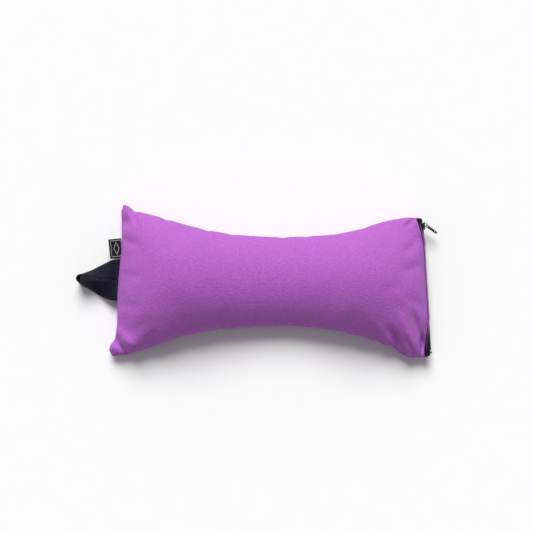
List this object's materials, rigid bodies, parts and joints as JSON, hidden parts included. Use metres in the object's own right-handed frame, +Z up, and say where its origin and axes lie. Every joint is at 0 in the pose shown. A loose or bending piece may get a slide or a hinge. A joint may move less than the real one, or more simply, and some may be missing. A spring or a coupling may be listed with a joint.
{
  "type": "bone-shaped support cushion",
  "caption": "Bone-shaped neck and back support cushion in a purple fleece zip-off cover, with a navy carry loop and a folded label in one end seam and a zipper across the other end.",
  "frame": {"origin": "on the flat underside where the cushion rests, below the middle of its waist", "axes": "+X along the cushion towards the zipper end, +Y towards its back long edge, +Z up out of the surface it lies on"},
  "size_m": [0.4523, 0.1868, 0.084],
  "materials": {
    "cover_fleece": "short-pile microfleece, mottled, matt with a soft sheen",
    "purple_thread": "spun polyester sewing thread",
    "bag_fabric": "plain woven lining",
    "bag_thread": "white sewing thread",
    "filling_fibre": "loose hollow-fibre wadding",
    "zipper_tape": "fine herringbone woven polyester tape",
    "zipper_coil": "moulded nylon coil, satin",
    "zipper_metal": "dark gunmetal plating, worn bright on the rims",
    "loop_webbing": "navy twill tape",
    "navy_thread": "navy sewing thread",
    "label_ribbon": null
  },
  "bodies": {
    "cushion": {"cover_top_panel": "cover_fleece", "cover_bottom_panel": "cover_fleece", "cover_seam_thread": "purple_thread", "inner_bag_top": "bag_fabric", "inner_bag_bottom": "bag_fabric", "inner_bag_seam_thread": "bag_thread", "filling": "filling_fibre", "zipper_tape_upper": "zipper_tape", "zipper_tape_lower": "zipper_tape", "zipper_coil_upper": "zipper_coil", "zipper_coil_lower": "zipper_coil", "zipper_top_stops": "zipper_metal", "zipper_bottom_stop": "zipper_metal", "zipper_stitching_upper": "purple_thread", "zipper_stitching_lower": "purple_thread", "carry_loop": "loop_webbing", "loop_stitching": "navy_thread", "woven_label": "label_ribbon"},
    "slider": {"zipper_slider_body": "zipper_metal"},
    "pull": {"zipper_pull_tab": "zipper_metal"}
  },
  "joints": [
    {"name": "slider_travel", "type": "slide", "parent": "cushion", "child": "slider", "axis": [0.0454, -0.999, 0], "range_m": [0, 0.1525], "deforming": ["zipper_coil_upper", "zipper_coil_lower", "zipper_tape_upper", "zipper_tape_lower"]},
    {"name": "pull_swing", "type": "hinge", "parent": "slider", "child": "pull", "pos_m": [0.19573, 0.07106, 0.016], "axis": [0, 0, 1], "range_deg": [-20, 98]}
  ]
}
